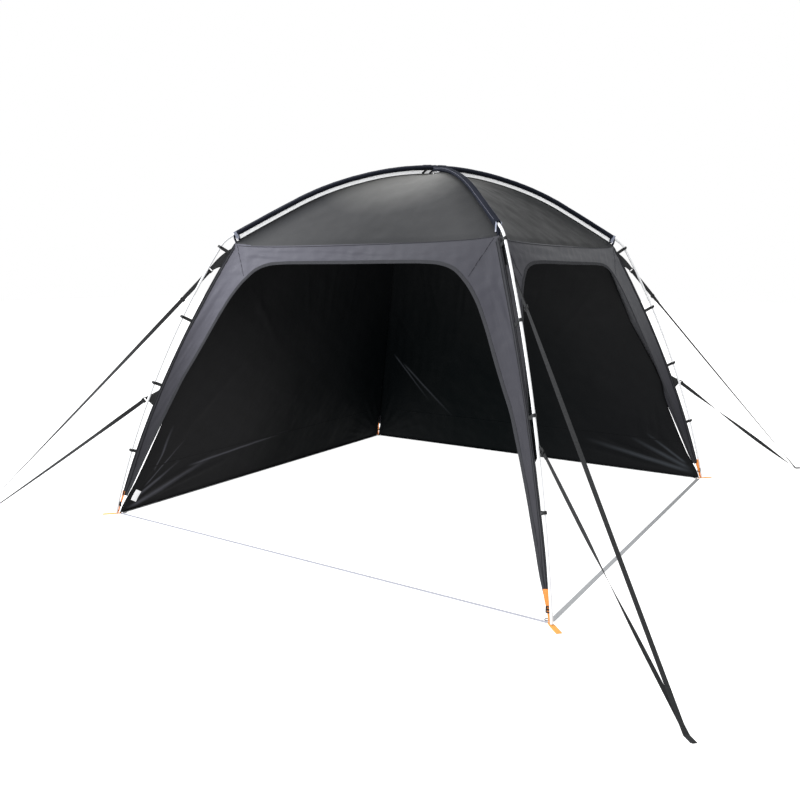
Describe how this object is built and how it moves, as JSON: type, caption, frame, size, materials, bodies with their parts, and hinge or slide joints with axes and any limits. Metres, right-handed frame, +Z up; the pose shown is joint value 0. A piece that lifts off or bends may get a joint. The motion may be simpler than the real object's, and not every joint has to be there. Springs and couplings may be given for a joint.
{
  "type": "camp shelter",
  "caption": "Square camp shelter: dark domed roof on crossing arched poles, arched open sides, walls on the left and back, orange feet, base straps and guy lines.",
  "frame": {"origin": "on the ground, at the centre of the square between the four feet", "axes": "+Z up; the sides run along X and Y; the open sides face -Y (front) and +X (right), the walls are on -X (left) and +Y (back)"},
  "size_m": [4.5574, 4.5574, 2.2641],
  "materials": {
    "roof_cloth": "dark grey coated woven polyester, matt",
    "side_cloth": "dark grey woven polyester, matt, slightly violet",
    "wall_cloth": "near-black woven polyester, matt",
    "sleeve_cloth": "dark slate woven polyester, matt",
    "band_cloth": "white open mesh",
    "pole": "white, smooth",
    "guy_webbing": "black woven webbing",
    "grey_webbing": "light grey woven webbing",
    "orange_webbing": "orange woven webbing"
  },
  "bodies": {
    "root": {"band_back_left": "band_cloth", "band_back_right": "band_cloth", "band_front_left": "band_cloth", "band_front_right": "band_cloth", "base_strap_back": "grey_webbing", "base_strap_front": "grey_webbing", "base_strap_left": "grey_webbing", "base_strap_right": "grey_webbing", "crown_tie": "sleeve_cloth", "foot_back_left": "orange_webbing", "foot_back_right": "orange_webbing", "foot_front_left": "orange_webbing", "foot_front_right": "orange_webbing", "guy_lower_back_left": "guy_webbing", "guy_lower_back_right": "guy_webbing", "guy_lower_front_left": "guy_webbing", "guy_lower_front_right": "guy_webbing", "guy_upper_back_left": "guy_webbing", "guy_upper_back_right": "guy_webbing", "guy_upper_front_left": "guy_webbing", "guy_upper_front_right": "guy_webbing", "leg_back_left": "pole", "leg_back_right": "pole", "leg_front_left": "pole", "leg_front_right": "pole", "roof_back": "roof_cloth", "roof_front": "roof_cloth", "roof_left": "roof_cloth", "roof_pole_back_left_front_right": "pole", "roof_pole_back_right_front_left": "pole", "roof_right": "roof_cloth", "sleeve_back_left": "sleeve_cloth", "sleeve_back_right": "sleeve_cloth", "sleeve_front_left": "sleeve_cloth", "sleeve_front_right": "sleeve_cloth", "valance_back": "side_cloth", "valance_front": "side_cloth", "valance_left": "side_cloth", "valance_right": "side_cloth", "wall_back": "wall_cloth", "wall_left": "wall_cloth", "wing_back_left": "side_cloth", "wing_back_right": "side_cloth", "wing_front_left": "side_cloth", "wing_front_right": "side_cloth"}
  },
  "joints": []
}
